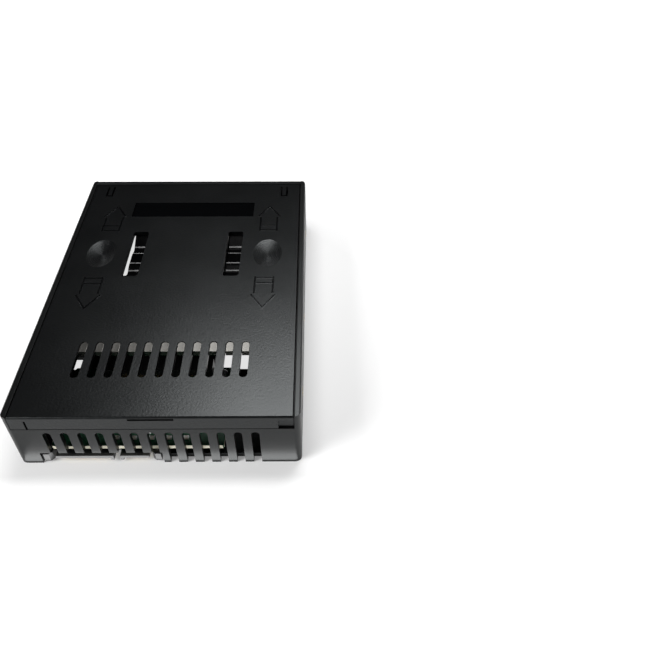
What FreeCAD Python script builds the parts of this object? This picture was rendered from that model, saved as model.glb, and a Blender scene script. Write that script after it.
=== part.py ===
"""Drive bay adapter: a carrier with a sliding lid that gives a 2.5-inch drive
the outline, screw holes and connector position of a 3.5-inch drive.

Millimetres. +Z is up, the connector end faces -Y, and the origin lies under
the middle of the tray, on the plane that it stands on.
"""
import FreeCAD
import Part
import os
from math import cos, pi, sin, sqrt

V = FreeCAD.Vector

# Outline of the 3.5-inch form factor
BODY_WIDTH = 101.6
BODY_LENGTH = 146.8
BODY_HEIGHT = 25.4
CORNER_RADIUS = 2.6
TOP_BEVEL = 0.5
SKID_BEVEL_ACROSS = 0.2
SKID_BEVEL_UP = 1.0

# Tray walls and floor
SIDE_WALL = 2.2
FAR_WALL = 2.4
COMB_WALL = 2.0
FLOOR_LIFT = 0.6
FLOOR = 2.0
SKID_WIDTH = 5.8
SEAM_BEVEL = 0.3

# Running and seating clearances
SLIDE_GAP = 0.3
LID_SIDE_GAP = 0.25
LID_FAR_GAP = 0.3
LID_SUNK = 0.2
SEAT_GAP = 0.05

# Ledges in the tray that the lid runs on, and the lid's own runners
LEDGE_DEPTH = 3.2
LEDGE_HEIGHT = 1.5
RUNNER_RIB = 2.0
RUNNER_FOOT = 1.7
RUNNER_FAR_SETBACK = 1.2

# Lid plate and its lip over the comb wall
LID_PLATE = 1.8
LID_EDGE_RADIUS = 0.8
LIP_THICKNESS = 1.6
LIP_DROP = 4.2
LIP_SLIT = 0.7
PRY_POCKET_DEPTH = 0.8

# Vents through the lid, and the stiffening rib at their far ends
VENT_COUNT = 11
VENT_PITCH = 6.0
VENT_WIDTH = 3.0
VENT_LENGTH = 18.2
VENT_FROM_NEAR_END = 18.4
VENT_RIB_TO_RUNNER = 3.1
VENT_RIB_THICKNESS = 1.6
VENT_RIB_DROP = 4.0
LID_PAD_THICKNESS = 0.8
LID_PAD_INSET = 1.0

# Windows over the hold-down springs, and the thumb dishes beside them
GRIP_FROM_NEAR_END = 90.4
WINDOW_SPREAD = 41.4
WINDOW_WIDTH = 6.6
WINDOW_LENGTH = 30.6
WINDOW_CORNER = 1.2
DISH_SPREAD = 70.6
DISH_WIDTH = 12.0
DISH_LENGTH = 19.0
DISH_DEPTH = 1.1

# Label recess, nail slit and snap tongues of the lid
RECESS_WIDTH = 55.0
RECESS_LENGTH = 11.0
RECESS_DEPTH = 0.4
RECESS_FROM_FAR_END = 18.4
NAIL_SLIT_WIDTH = 15.7
NAIL_SLIT_HEIGHT = 0.9
NAIL_SLIT_DEPTH = 1.2
NAIL_SLIT_BELOW_TOP = 0.8
SNAP_TO_RUNNER = 0.5
SNAP_WIDTH = 1.8
SNAP_LENGTH = 7.0
SNAP_SLIT = 0.8
SNAP_ROOT = 2.4
SNAP_BUMP = 0.5
SNAP_BUMP_LENGTH = 1.4
CATCH_LENGTH = 2.0

# Hold-down springs: one bent strip under each window
SPRING_WIDTH = 6.0
SPRING_THICKNESS = 0.4
SPRING_PAD = 4.6
SPRING_VALLEY = 2.9
SPRING_CREST = 1.9
SPRING_VALLEY_OFFSET = 8.0
SPRING_CREST_OFFSET = 3.6
SPRING_BEND = 0.7
STAKE_WIDTH = 1.5
STAKE_HEAD_WIDTH = 2.6
STAKE_HEAD = 0.5

# Comb of air slots in the connector end
COMB_COUNT = 13
COMB_PITCH = 6.0
COMB_SLOT = 2.9
COMB_CROWN = 1.8
COMB_OFFSET = -1.1

# Floor openings
FLOOR_BAR = 5.0
FLOOR_SPINE = 31.0
FLOOR_CORNER = 2.5
FLOOR_NEAR_BAR = 3.8
FLOOR_LEFT_SHORTER = 16.6
FLOOR_BREAK = 95.4
CHANNEL_STRIP = 0.9
CHANNEL_HOLE = 7.3

# 2.5-inch drive bay
DRIVE_WIDTH = 69.85
DRIVE_LENGTH = 100.2
DRIVE_SIDE_GAP = 0.45
DRIVE_FAR_GAP = 3.8
DRIVE_LIFT = 7.0
GUIDE_WALL = 1.8
GUIDE_HEIGHT = 13.5
GUIDE_START = 9.0
PAD_WIDTH = 6.0
STOP_WIDTH = 2.0
STOP_SPREAD = 42.0
STOP_HEIGHT = 15.0

# Screw holes of the 3.5-inch form factor, measured from the connector end
SIDE_HOLE_HEIGHT = 6.35
SIDE_HOLE_FIRST = 28.5
SIDE_HOLE_MIDDLE = 41.61
SIDE_HOLE_LAST = 101.6
BOTTOM_HOLE_FIRST = 41.28
BOTTOM_HOLE_SPACING = 44.45
BOTTOM_HOLE_SPREAD = 95.25
INSERT_FLATS = 4.0
INSERT_SIDES = 6
INSERT_BORE = 1.45
INSERT_LENGTH = 5.5
HOLE_RUN_OUT = 0.8
BOSS_WALL = 1.4
BOSS_CAP = 0.9

# Circuit board
BOARD_LEFT_INSET = 2.9
BOARD_RIGHT_OF_SOCKET = 6.8
BOARD_PAST_SOCKET = 1.15
BOARD_THICKNESS = 1.6
BOARD_NEAR_GAP = 0.4
BOARD_CORNER = 0.5
POST_HEIGHT = 2.4
POST_WIDTH = 5.2
POST_INSET = 3.8
LEFT_POST_PAST_PLUG = 5.0
RIGHT_POST_FROM_NEAR_EDGE = 13.6
SCREW_RADIUS = 1.15
SCREW_LENGTH = 5.0
SCREW_HEAD_RADIUS = 2.2
SCREW_HEAD = 1.6
BOARD_HOLE_GAP = 0.25
PILOT_RUN_OUT = 0.3

# Contact field that the plug and the socket share
POWER_TONGUE = 20.57
DATA_TONGUE = 10.41
TONGUE_GAP = 2.41
TONGUE_THICKNESS = 1.23
KEY_WIDTH = 1.1
KEY_DROP = 1.1
POWER_CONTACTS = 15
DATA_CONTACTS = 7
CONTACT_PITCH = 1.27
CONTACT_WIDTH = 0.8
CONTACT_THICKNESS = 0.25
CONTACT_PROUD = 0.1
CONTACT_FOOT = 1.4
PEG_WIDTH = 1.4
PEG_THICKNESS = 0.6
PEG_INSET = 5.0
PEG_IN_HOUSING = 1.0
PEG_PAST_BOARD = 0.4

# Host plug at the connector end
PLUG_OFFSET = -20.68
PLUG_WIDTH = 42.0
PLUG_BODY_DEPTH = 5.6
PLUG_BOTTOM = 0.9
PLUG_OPENING_GAP = 0.8
PLUG_OPENING_TOP = 5.7
PLUG_WELL_MARGIN = 1.4
PLUG_CONTACT_SETBACK = 0.5
TONGUE_HEIGHT = 3.0
TONGUE_LENGTH = 4.8
TONGUE_SETBACK = 0.2
ARM_WIDTH = 3.2
ARM_HEIGHT = 3.8
ARM_LEAD_IN = 1.2

# Drive socket on the board
SOCKET_OFFSET = -4.8
SOCKET_WIDTH = 42.0
SOCKET_BODY_DEPTH = 6.0
SOCKET_BODY_HEIGHT = 6.3
SOCKET_NOSE_WIDTH = 35.2
SOCKET_NOSE_DEPTH = 4.6
SOCKET_NOSE_HEIGHT = 4.3
SOCKET_TO_DRIVE = 0.3
SOCKET_CONTACT_SETBACK = 0.75
DRIVE_TONGUE_HEIGHT = 3.5
MOUTH_GAP = 0.15

# Chip capacitors in a row behind the comb
CHIP_COUNT = 5
CHIP_FIRST = -15.7
CHIP_PITCH = 6.2
CHIP_FROM_EDGE = 3.3
CHIP_LENGTH = 2.0
CHIP_WIDTH = 1.25
CHIP_HEIGHT = 0.9
CHIP_TERMINAL = 0.45

# Places worked out from the sizes above
HALF_W = BODY_WIDTH / 2
HALF_L = BODY_LENGTH / 2
WALL_IN = HALF_W - SIDE_WALL
FAR_IN = HALF_L - FAR_WALL
NEAR_IN = -HALF_L + COMB_WALL
FLOOR_TOP = FLOOR_LIFT + FLOOR
SKID_IN = HALF_W - SKID_BEVEL_ACROSS - SKID_WIDTH

LID_HALF = WALL_IN - LID_SIDE_GAP
LID_FAR = FAR_IN - LID_FAR_GAP
LID_TOP = BODY_HEIGHT - LID_SUNK
LID_UNDER = LID_TOP - LID_PLATE
LEDGE_IN = WALL_IN - LEDGE_DEPTH
LEDGE_TOP = LID_UNDER - SLIDE_GAP
LEDGE_BOTTOM = LEDGE_TOP - LEDGE_HEIGHT
FOOT_TOP = LEDGE_BOTTOM - SLIDE_GAP
FOOT_BOTTOM = FOOT_TOP - RUNNER_FOOT
RIB_OUT = LEDGE_IN - SLIDE_GAP
RIB_IN = RIB_OUT - RUNNER_RIB
VENT_RIB_HALF = RIB_IN - VENT_RIB_TO_RUNNER
LIP_BOTTOM = LID_UNDER - LIP_DROP
LIP_FAR = -HALF_L + LIP_THICKNESS
VENT_RIB_BOTTOM = LID_UNDER - VENT_RIB_DROP
SPRING_BOTTOM = LID_UNDER - SPRING_VALLEY - SPRING_THICKNESS
COMB_WALL_TOP = min(LIP_BOTTOM, FOOT_BOTTOM, VENT_RIB_BOTTOM, SPRING_BOTTOM) - SLIDE_GAP
COMB_TOP = COMB_WALL_TOP - COMB_CROWN

VENT_NEAR = -HALF_L + VENT_FROM_NEAR_END
VENT_FAR = VENT_NEAR + VENT_LENGTH
GRIP_Y = -HALF_L + GRIP_FROM_NEAR_END
SNAP_X = RIB_IN - SNAP_TO_RUNNER - SNAP_SLIT - SNAP_WIDTH / 2
SNAP_FAR = LID_FAR - SNAP_ROOT
SNAP_NEAR = SNAP_FAR - SNAP_LENGTH
CATCH_NEAR = SNAP_NEAR - CATCH_LENGTH

DRIVE_FAR = FAR_IN - DRIVE_FAR_GAP - DRIVE_SIDE_GAP
DRIVE_NEAR = DRIVE_FAR - DRIVE_LENGTH
GUIDE_IN = DRIVE_WIDTH / 2 + DRIVE_SIDE_GAP
GUIDE_OUT = GUIDE_IN + GUIDE_WALL
SOCKET_FACE = DRIVE_NEAR - SOCKET_TO_DRIVE
SOCKET_BACK = SOCKET_FACE - SOCKET_BODY_DEPTH
SOCKET_TIP = SOCKET_FACE + SOCKET_NOSE_DEPTH
MOUTH_HEIGHT = TONGUE_THICKNESS + 2 * MOUTH_GAP
MOUTH_BOTTOM = DRIVE_LIFT + DRIVE_TONGUE_HEIGHT - MOUTH_HEIGHT / 2

TONGUE_SPAN = POWER_TONGUE + TONGUE_GAP + DATA_TONGUE
TONGUE_BOTTOM = TONGUE_HEIGHT - TONGUE_THICKNESS / 2
PLUG_TIP = -HALF_L + TONGUE_SETBACK
PLUG_FACE = PLUG_TIP + TONGUE_LENGTH
PLUG_BACK = PLUG_FACE + PLUG_BODY_DEPTH
PLUG_FEET = PLUG_BACK + CONTACT_THICKNESS + CONTACT_FOOT

BOARD_LEFT = PLUG_OFFSET - PLUG_WIDTH / 2 + BOARD_LEFT_INSET
BOARD_RIGHT = SOCKET_OFFSET + SOCKET_WIDTH / 2 + BOARD_RIGHT_OF_SOCKET
BOARD_BOTTOM = FLOOR_TOP + POST_HEIGHT
BOARD_TOP = BOARD_BOTTOM + BOARD_THICKNESS
BOARD_NEAR = NEAR_IN + BOARD_NEAR_GAP
BOARD_FAR = SOCKET_FACE + BOARD_PAST_SOCKET
BOARD_SCREWS = [
    (BOARD_RIGHT - POST_INSET, BOARD_NEAR + RIGHT_POST_FROM_NEAR_EDGE),
    (BOARD_RIGHT - POST_INSET, BOARD_FAR - POST_INSET),
    (BOARD_LEFT + POST_INSET, PLUG_FEET + LEFT_POST_PAST_PLUG),
]

SIDE_HOLE_PLACES = [
    -HALF_L + SIDE_HOLE_FIRST,
    -HALF_L + SIDE_HOLE_FIRST + SIDE_HOLE_MIDDLE,
    -HALF_L + SIDE_HOLE_FIRST + SIDE_HOLE_LAST,
]
BOTTOM_HOLE_PLACES = [
    -HALF_L + BOTTOM_HOLE_FIRST,
    -HALF_L + BOTTOM_HOLE_FIRST + BOTTOM_HOLE_SPACING,
]
INSERT_CORNER = INSERT_FLATS / 2 / cos(pi / INSERT_SIDES)
BOSS_HALF = INSERT_CORNER + BOSS_WALL
BOSS_DEPTH = INSERT_LENGTH + HOLE_RUN_OUT + BOSS_CAP

# How far a cutting tool runs past the face that it opens
PAST = 1.0


def block(x, y, z):
    """Box between a low and a high value on each axis."""
    return Part.makeBox(x[1] - x[0], y[1] - y[0], z[1] - z[0], V(x[0], y[0], z[0]))


def span(middle, width):
    """Low and high value of a width laid evenly about a middle."""
    return (middle - width / 2, middle + width / 2)


def prism(points, along):
    """Polygon of points, carried along a vector."""
    return Part.Face(Part.makePolygon(points + [points[0]])).extrude(along)


def section_xz(outline, y):
    """Prism along Y of an outline given as (x, z) pairs."""
    points = [V(px, y[0], pz) for px, pz in outline]
    return prism(points, V(0, y[1] - y[0], 0))


def section_yz(outline, x):
    """Prism along X of an outline given as (y, z) pairs."""
    points = [V(x[0], py, pz) for py, pz in outline]
    return prism(points, V(x[1] - x[0], 0, 0))


def upright_edges(shape):
    """Edges of a box-like shape that run along Z."""
    return [e for e in shape.Edges if e.BoundBox.ZLength > e.BoundBox.XLength + e.BoundBox.YLength]


def rounded_block(x, y, z, radius):
    """Box with its four upright edges rounded."""
    solid = block(x, y, z)
    return solid.makeFillet(radius, upright_edges(solid))


def bevelled_block(x, y, z, bevel):
    """Box with its four upright edges bevelled."""
    solid = block(x, y, z)
    return solid.makeChamfer(bevel, upright_edges(solid))


def edges_at(shape, y, z):
    """Edges of a shape whose Y and Z stay within two ranges."""
    boxes = [(e, e.BoundBox) for e in shape.Edges]
    boxes = [(e, b) for e, b in boxes if y[0] < b.YMin and b.YMax < y[1]]
    return [e for e, b in boxes if z[0] < b.ZMin and b.ZMax < z[1]]


def hexagon(place, axis, flats, length):
    """Six-sided prism about an axis in the XZ plane, with two corners along Y."""
    corner = flats / 2 / cos(pi / INSERT_SIDES)
    across = V(0, corner, 0)
    upward = axis.cross(V(0, corner, 0))
    turns = [2 * pi * i / INSERT_SIDES for i in range(INSERT_SIDES)]
    return prism([place + across * cos(t) + upward * sin(t) for t in turns], axis * length)


def slot_along_y(centre, y, width, z):
    """Upright slot with round ends, long along Y."""
    r = width / 2
    corners = [
        V(centre - r, y[0] + r, z[0]),
        V(centre - r, y[1] - r, z[0]),
        V(centre + r, y[1] - r, z[0]),
        V(centre + r, y[0] + r, z[0]),
    ]
    edges = [
        Part.LineSegment(corners[0], corners[1]).toShape(),
        Part.Arc(corners[1], V(centre, y[1], z[0]), corners[2]).toShape(),
        Part.LineSegment(corners[2], corners[3]).toShape(),
        Part.Arc(corners[3], V(centre, y[0], z[0]), corners[0]).toShape(),
    ]
    return Part.Face(Part.Wire(edges)).extrude(V(0, 0, z[1] - z[0]))


def mirrored(shape):
    """The same shape on the other side of the middle plane."""
    return shape.mirror(V(0, 0, 0), V(1, 0, 0))


def both_sides(shapes):
    """Shapes of the right side with their left copies."""
    return shapes + [mirrored(shape) for shape in shapes]


def row_places(count, pitch):
    """Places of an even row about zero."""
    return [(i - (count - 1) / 2) * pitch for i in range(count)]


def tray_shell():
    """Floor, skids, side walls and lid ledges in one section, closed by the
    far wall and the low comb wall, with the outline's round corners."""
    right = [
        (SKID_IN, FLOOR_LIFT),
        (SKID_IN, 0),
        (HALF_W - SKID_BEVEL_ACROSS, 0),
        (HALF_W, SKID_BEVEL_UP),
        (HALF_W, BODY_HEIGHT - TOP_BEVEL),
        (HALF_W - TOP_BEVEL, BODY_HEIGHT),
        (WALL_IN + SEAM_BEVEL, BODY_HEIGHT),
        (WALL_IN, BODY_HEIGHT - SEAM_BEVEL),
        (WALL_IN, LEDGE_TOP),
        (LEDGE_IN, LEDGE_TOP),
        (LEDGE_IN, LEDGE_BOTTOM),
        (WALL_IN, LEDGE_BOTTOM),
        (WALL_IN, FLOOR_TOP),
    ]
    left = [(-px, pz) for px, pz in reversed(right)]
    trough = section_xz(right + left, (-HALF_L, HALF_L))

    far_wall = section_yz(
        [
            (FAR_IN, 0),
            (HALF_L, 0),
            (HALF_L, BODY_HEIGHT - TOP_BEVEL),
            (HALF_L - TOP_BEVEL, BODY_HEIGHT),
            (FAR_IN + SEAM_BEVEL, BODY_HEIGHT),
            (FAR_IN, BODY_HEIGHT - SEAM_BEVEL),
        ],
        (-WALL_IN - SEAM_BEVEL, WALL_IN + SEAM_BEVEL),
    )
    comb_wall = block((-WALL_IN, WALL_IN), (-HALF_L, NEAR_IN), (0, COMB_WALL_TOP))
    envelope = rounded_block(
        (-HALF_W, HALF_W), (-HALF_L, HALF_L), (0, BODY_HEIGHT), CORNER_RADIUS
    )
    return trough.fuse([far_wall, comb_wall]).common(envelope)


def ledge_ends():
    """Near ends of the ledges, which stop short of the lid's lip."""
    end = block(
        (RIB_OUT, WALL_IN),
        (-HALF_L - PAST, LIP_FAR + SLIDE_GAP),
        (FOOT_TOP, LID_UNDER),
    )
    return both_sides([end])


def comb_slots():
    """Air slots in the comb wall: round tops, open at the bottom."""
    slots = []
    r = COMB_SLOT / 2
    for place in row_places(COMB_COUNT, COMB_PITCH):
        centre = COMB_OFFSET + place
        y = -HALF_L - PAST
        left_low = V(centre - r, y, -PAST)
        left_high = V(centre - r, y, COMB_TOP - r)
        top = V(centre, y, COMB_TOP)
        right_high = V(centre + r, y, COMB_TOP - r)
        right_low = V(centre + r, y, -PAST)
        edges = [
            Part.LineSegment(left_low, left_high).toShape(),
            Part.Arc(left_high, top, right_high).toShape(),
            Part.LineSegment(right_high, right_low).toShape(),
            Part.LineSegment(right_low, left_low).toShape(),
        ]
        slots.append(Part.Face(Part.Wire(edges)).extrude(V(0, COMB_WALL + PAST, 0)))
    return slots


def plug_openings():
    """Opening in the comb wall and well in the floor for the host plug."""
    across = span(PLUG_OFFSET, PLUG_WIDTH + 2 * PLUG_OPENING_GAP)
    in_wall = block(across, (-HALF_L - PAST, NEAR_IN), (-PAST, PLUG_OPENING_TOP))
    well = block(
        across,
        (-HALF_L - PAST, PLUG_FEET + PLUG_WELL_MARGIN),
        (-PAST, FLOOR_TOP + PAST),
    )
    return [in_wall, well]


def floor_rows(side):
    """Near and far Y of the two floor openings of one side. The left one
    starts later, because the floor stays whole round the drive socket."""
    first = DRIVE_NEAR + FLOOR_NEAR_BAR
    if side < 0:
        first += FLOOR_LEFT_SHORTER
    near_bar, far_bar = span(-HALF_L + FLOOR_BREAK, FLOOR_BAR)
    return [(first, near_bar), (far_bar, FAR_IN - FLOOR_BAR)]


def channel_rows():
    """Near and far Y of the openings in a side channel: a short hole, then
    one beside each large opening."""
    (near, middle), (past_bar, far) = floor_rows(1)
    hole_end = near + CHANNEL_HOLE
    channel_end = min(far, CATCH_NEAR - CHANNEL_STRIP)
    return [(near, hole_end), (hole_end + FLOOR_BAR, middle), (past_bar, channel_end)]


def floor_openings():
    """Large openings under the drive and narrow ones in the side channels."""
    depth = (-PAST, FLOOR_TOP + PAST)
    channel = (GUIDE_OUT + CHANNEL_STRIP, SKID_IN - CHANNEL_STRIP)
    cuts = []
    for side in (-1, 1):
        x = sorted((side * FLOOR_SPINE / 2, side * GUIDE_IN))
        cuts += [bevelled_block(x, row, depth, FLOOR_CORNER) for row in floor_rows(side)]
    return cuts + both_sides([block(channel, row, depth) for row in channel_rows()])


def drive_pads():
    """Pads under the drive, on the floor bars."""
    pads = []
    for side in (-1, 1):
        rows = floor_rows(side)
        bars = [(near - FLOOR_BAR, near) for near, far in rows] + [(rows[-1][1], FAR_IN)]
        x = sorted((side * (GUIDE_IN - PAD_WIDTH), side * GUIDE_IN))
        pads += [block(x, bar, (FLOOR_LIFT, DRIVE_LIFT)) for bar in bars]
    return pads


def drive_rails():
    """Guide walls beside the drive and stops behind it."""
    guide_y = (DRIVE_NEAR + GUIDE_START, FAR_IN)
    guide = block((GUIDE_IN, GUIDE_OUT), guide_y, (FLOOR_LIFT, GUIDE_HEIGHT))
    stop_y = (DRIVE_FAR + DRIVE_SIDE_GAP, FAR_IN)
    stop = block(span(STOP_SPREAD / 2, STOP_WIDTH), stop_y, (FLOOR_LIFT, STOP_HEIGHT))
    return both_sides([guide, stop])


def snap_catches():
    """Upright ribs on the far wall that the lid's snap tongues ride over."""
    top = LID_UNDER - SNAP_BUMP - SLIDE_GAP
    rib = block(span(SNAP_X, SNAP_WIDTH), (CATCH_NEAR, FAR_IN), (FLOOR_LIFT, top))
    return both_sides([rib])


def insert_bosses():
    """Bosses inside the side walls, round the threaded inserts."""
    wall = HALF_W - SIDE_WALL / 2
    bosses = []
    for y in SIDE_HOLE_PLACES:
        height = (FLOOR_LIFT, SIDE_HOLE_HEIGHT + BOSS_HALF)
        bosses.append(block((HALF_W - BOSS_DEPTH, wall), span(y, 2 * BOSS_HALF), height))
    for y in BOTTOM_HOLE_PLACES:
        across = (BOTTOM_HOLE_SPREAD / 2 - BOSS_HALF, wall)
        bosses.append(block(across, span(y, 2 * BOSS_HALF), (0, BOSS_DEPTH)))
    return both_sides(bosses)


def insert_seats():
    """Six-sided seats of the inserts, deep enough for the screw tips."""
    flats = INSERT_FLATS + 2 * SEAT_GAP
    depth = INSERT_LENGTH + HOLE_RUN_OUT
    sides = [V(HALF_W, y, SIDE_HOLE_HEIGHT) for y in SIDE_HOLE_PLACES]
    bottoms = [V(BOTTOM_HOLE_SPREAD / 2, y, 0) for y in BOTTOM_HOLE_PLACES]
    seats = [hexagon(place, V(-1, 0, 0), flats, depth) for place in sides]
    seats += [hexagon(place, V(0, 0, 1), flats, depth) for place in bottoms]
    return both_sides(seats)


def board_posts():
    """Posts that carry the circuit board."""
    height = (FLOOR_LIFT, BOARD_BOTTOM)
    return [block(span(px, POST_WIDTH), span(py, POST_WIDTH), height) for px, py in BOARD_SCREWS]


def board_pilots():
    """Pilot holes for the board screws."""
    bottom = BOARD_TOP - SCREW_LENGTH - PILOT_RUN_OUT
    return [
        Part.makeCylinder(SCREW_RADIUS + SEAT_GAP, BOARD_BOTTOM - bottom, V(px, py, bottom))
        for px, py in BOARD_SCREWS
    ]


def base_tray():
    """The moulded tray."""
    tray = tray_shell().cut(ledge_ends() + comb_slots() + plug_openings())
    tray = tray.cut(floor_openings())
    tray = tray.fuse(drive_rails() + drive_pads() + snap_catches() + insert_bosses() + board_posts())
    return tray.cut(insert_seats() + board_pilots()).removeSplitter()


def lid_plate():
    """Flat plate with a rounded near edge and bevelled seams."""
    plate = block((-LID_HALF, LID_HALF), (-HALF_L, LID_FAR), (LID_UNDER, LID_TOP))
    top = edges_at(plate, (-HALF_L - PAST, HALF_L), span(LID_TOP, SEAM_BEVEL))
    plate = plate.makeChamfer(SEAM_BEVEL, [e for e in top if e.BoundBox.YMax > 0])
    near = edges_at(plate, span(-HALF_L, SEAM_BEVEL), span(LID_TOP, SEAM_BEVEL))
    return plate.makeFillet(LID_EDGE_RADIUS, near)


def lid_runners():
    """Hooked runners: a rib under the plate and a foot under the tray's ledge."""
    outline = [
        (RIB_IN, LID_UNDER),
        (RIB_IN, FOOT_BOTTOM),
        (LID_HALF, FOOT_BOTTOM),
        (LID_HALF, FOOT_TOP),
        (RIB_OUT, FOOT_TOP),
        (RIB_OUT, LID_UNDER),
    ]
    y = (LIP_FAR, LID_FAR - RUNNER_FAR_SETBACK)
    return both_sides([section_xz(outline, y)])


def lid_ribs():
    """Lip over the comb wall and the rib at the far ends of the vents."""
    rib_near = VENT_FAR + LID_PAD_THICKNESS
    rib_y = (rib_near, rib_near + VENT_RIB_THICKNESS)
    lip = block((-LID_HALF, LID_HALF), (-HALF_L, LIP_FAR), (LIP_BOTTOM, LID_UNDER))
    rib = block((-VENT_RIB_HALF, VENT_RIB_HALF), rib_y, (VENT_RIB_BOTTOM, LID_UNDER))
    return [lip, rib]


def stake_places():
    """Places of the heat-staked pins at both ends of each spring."""
    reach = WINDOW_LENGTH / 2 + SPRING_PAD / 2
    return [
        (side * WINDOW_SPREAD / 2, GRIP_Y + end * reach)
        for side in (-1, 1)
        for end in (-1, 1)
    ]


def spring_stakes():
    """Pins with flattened heads that hold the springs to the lid."""
    top = LID_UNDER - SPRING_THICKNESS
    stakes = []
    for px, py in stake_places():
        stakes.append(block(span(px, STAKE_WIDTH), span(py, STAKE_WIDTH), (top, LID_UNDER)))
        head = (span(px, STAKE_HEAD_WIDTH), span(py, STAKE_HEAD_WIDTH))
        stakes.append(block(*head, (top - STAKE_HEAD, top)))
    return stakes


def lid_vents():
    """Air slots through the plate."""
    depth = (LID_UNDER - PAST, LID_TOP + PAST)
    y = (VENT_NEAR, VENT_FAR)
    return [slot_along_y(px, y, VENT_WIDTH, depth) for px in row_places(VENT_COUNT, VENT_PITCH)]


def lid_windows():
    """Windows over the springs."""
    window = rounded_block(
        span(WINDOW_SPREAD / 2, WINDOW_WIDTH),
        span(GRIP_Y, WINDOW_LENGTH),
        (LID_UNDER - PAST, LID_TOP + PAST),
        WINDOW_CORNER,
    )
    return both_sides([window])


def dished_radius(width):
    """Radius of the arc that is a dish's width across and its depth deep."""
    return ((width / 2) ** 2 + DISH_DEPTH ** 2) / (2 * DISH_DEPTH)


def thumb_dishes():
    """Oval dishes: the lowest part of an upright ring cuts into the plate."""
    across = dished_radius(DISH_WIDTH)
    along = dished_radius(DISH_LENGTH)
    middle = V(DISH_SPREAD / 2, GRIP_Y, LID_TOP - DISH_DEPTH + along)
    return both_sides([Part.makeTorus(along - across, across, middle, V(1, 0, 0))])


def label_recess():
    """Shallow field for a label."""
    far = HALF_L - RECESS_FROM_FAR_END
    return block(
        (-RECESS_WIDTH / 2, RECESS_WIDTH / 2),
        (far - RECESS_LENGTH, far),
        (LID_TOP - RECESS_DEPTH, LID_TOP + PAST),
    )


def nail_slit():
    """Slit for a finger nail in the near edge."""
    top = LID_TOP - NAIL_SLIT_BELOW_TOP
    return block(
        (-NAIL_SLIT_WIDTH / 2, NAIL_SLIT_WIDTH / 2),
        (-HALF_L - PAST, -HALF_L + NAIL_SLIT_DEPTH),
        (top - NAIL_SLIT_HEIGHT, top),
    )


def lip_cuts():
    """Slit near the lip's left end, and a pocket at its right end where a
    blade can push the lid."""
    height = (LIP_BOTTOM - PAST, LID_UNDER)
    slit = block((-RIB_IN, -RIB_IN + LIP_SLIT), (-HALF_L - PAST, LIP_FAR), height)
    pocket = block((RIB_IN, WALL_IN), (-HALF_L - PAST, -HALF_L + PRY_POCKET_DEPTH), height)
    return [slit, pocket]


def snap_slits():
    """Slits on three sides of each snap tongue, which stays joined at its far end."""
    depth = (LID_UNDER - PAST, LID_TOP + PAST)
    around = block(span(SNAP_X, SNAP_WIDTH + 2 * SNAP_SLIT), (SNAP_NEAR - SNAP_SLIT, SNAP_FAR), depth)
    tongue = block(span(SNAP_X, SNAP_WIDTH), (SNAP_NEAR, SNAP_FAR), depth)
    return both_sides([around.cut(tongue)])


def snap_bumps():
    """Bumps under the free ends of the snap tongues."""
    bump = section_yz(
        [
            (SNAP_NEAR, LID_UNDER),
            (SNAP_NEAR + SNAP_BUMP_LENGTH / 2, LID_UNDER - SNAP_BUMP),
            (SNAP_NEAR + SNAP_BUMP_LENGTH, LID_UNDER),
        ],
        span(SNAP_X, SNAP_WIDTH),
    )
    return both_sides([bump])


def sliding_lid():
    """The moulded lid."""
    lid = lid_plate().fuse(lid_runners() + lid_ribs() + spring_stakes() + snap_bumps())
    cuts = lid_vents() + lid_windows() + thumb_dishes() + snap_slits() + lip_cuts()
    return lid.cut(cuts + [label_recess(), nail_slit()]).removeSplitter()


def lid_pad():
    """Foam strip on the near face of the rib behind the vents."""
    half = VENT_RIB_HALF - LID_PAD_INSET
    y = (VENT_FAR, VENT_FAR + LID_PAD_THICKNESS)
    return block((-half, half), y, (VENT_RIB_BOTTOM, LID_UNDER))


def bent_path(corners, bend):
    """Wire in the YZ plane through (y, z) corners, each turned by a tangent
    arc that starts a set length before its corner."""
    points = [V(0, py, pz) for py, pz in corners]
    edges = []
    start = points[0]
    for before, corner, after in zip(points, points[1:], points[2:]):
        towards = (before - corner).normalize() * bend
        onwards = (after - corner).normalize() * bend
        first = corner + towards
        last = corner + onwards
        half_way = (towards + onwards) / 2
        # The arc's middle lies on the line from the corner to the chord's middle
        half_chord = (last - first).Length / 2
        radius = half_chord * bend / half_way.Length
        to_centre = sqrt(bend ** 2 + radius ** 2)
        middle = corner + half_way.normalize() * (to_centre - radius)
        edges.append(Part.LineSegment(start, first).toShape())
        edges.append(Part.Arc(first, middle, last).toShape())
        start = last
    edges.append(Part.LineSegment(start, points[-1]).toShape())
    return Part.Wire(edges)


def hold_down_spring(side):
    """Bent strip: flat ends under the lid, two valleys that press on the drive
    and a raised middle."""
    window_end = WINDOW_LENGTH / 2
    half = [
        (window_end + SPRING_PAD, 0),
        (window_end, 0),
        (SPRING_VALLEY_OFFSET, SPRING_VALLEY),
        (SPRING_CREST_OFFSET, SPRING_CREST),
    ]
    near = [(GRIP_Y - offset, LID_UNDER - drop) for offset, drop in half]
    far = [(GRIP_Y + offset, LID_UNDER - drop) for offset, drop in reversed(half)]
    top = bent_path(near + far, SPRING_BEND)
    strip = top.extrude(V(0, 0, -SPRING_THICKNESS))
    middle = side * WINDOW_SPREAD / 2
    solids = [face.extrude(V(SPRING_WIDTH, 0, 0)) for face in strip.Faces]
    spring = solids[0].fuse(solids[1:]).removeSplitter()
    spring.translate(V(middle - SPRING_WIDTH / 2, 0, 0))
    hole = STAKE_WIDTH + 2 * SEAT_GAP
    depth = (LID_UNDER - SPRING_THICKNESS - PAST, LID_UNDER + PAST)
    ends = [(px, py) for px, py in stake_places() if px * side > 0]
    return spring.cut([block(span(px, hole), span(py, hole), depth) for px, py in ends])


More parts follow.
